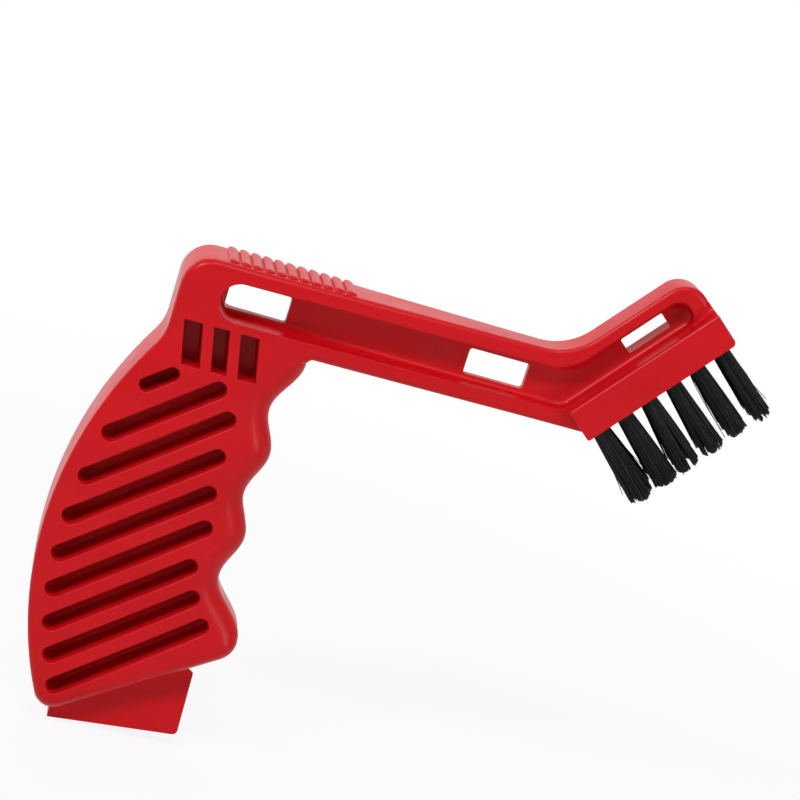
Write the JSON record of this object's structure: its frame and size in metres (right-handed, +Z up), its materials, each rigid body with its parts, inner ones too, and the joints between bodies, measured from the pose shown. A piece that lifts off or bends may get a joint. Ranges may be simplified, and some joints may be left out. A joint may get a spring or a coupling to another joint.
{
  "type": "pad cleaning brush",
  "caption": "Hand brush with a pistol grip, a channelled arm, an upturned head of dark bristle tufts, thumb ribs and a scraping spur under the grip.",
  "frame": {"origin": "middle of the hand grip, on the middle plane of the thickness", "axes": "+X along the arm towards the brush head, +Y through the thickness, +Z up with the thumb ribs on top"},
  "size_m": [0.2109, 0.025, 0.1894],
  "materials": {
    "red_plastic": "glossy moulded",
    "black_bristle": "dull filament",
    "anchor_wire": "drawn wire"
  },
  "bodies": {
    "root": {"handle": "red_plastic", "bristle_tuft_a1": "black_bristle", "bristle_tuft_a2": "black_bristle", "bristle_tuft_a3": "black_bristle", "bristle_tuft_a4": "black_bristle", "bristle_tuft_a5": "black_bristle", "bristle_tuft_a6": "black_bristle", "bristle_tuft_b1": "black_bristle", "bristle_tuft_b2": "black_bristle", "bristle_tuft_b3": "black_bristle", "bristle_tuft_b4": "black_bristle", "bristle_tuft_b5": "black_bristle", "bristle_tuft_b6": "black_bristle", "bristle_tuft_c1": "black_bristle", "bristle_tuft_c2": "black_bristle", "bristle_tuft_c3": "black_bristle", "bristle_tuft_c4": "black_bristle", "bristle_tuft_c5": "black_bristle", "bristle_tuft_c6": "black_bristle", "tuft_anchor_a1": "anchor_wire", "tuft_anchor_a2": "anchor_wire", "tuft_anchor_a3": "anchor_wire", "tuft_anchor_a4": "anchor_wire", "tuft_anchor_a5": "anchor_wire", "tuft_anchor_a6": "anchor_wire", "tuft_anchor_b1": "anchor_wire", "tuft_anchor_b2": "anchor_wire", "tuft_anchor_b3": "anchor_wire", "tuft_anchor_b4": "anchor_wire", "tuft_anchor_b5": "anchor_wire", "tuft_anchor_b6": "anchor_wire", "tuft_anchor_c1": "anchor_wire", "tuft_anchor_c2": "anchor_wire", "tuft_anchor_c3": "anchor_wire", "tuft_anchor_c4": "anchor_wire", "tuft_anchor_c5": "anchor_wire", "tuft_anchor_c6": "anchor_wire"}
  },
  "joints": []
}
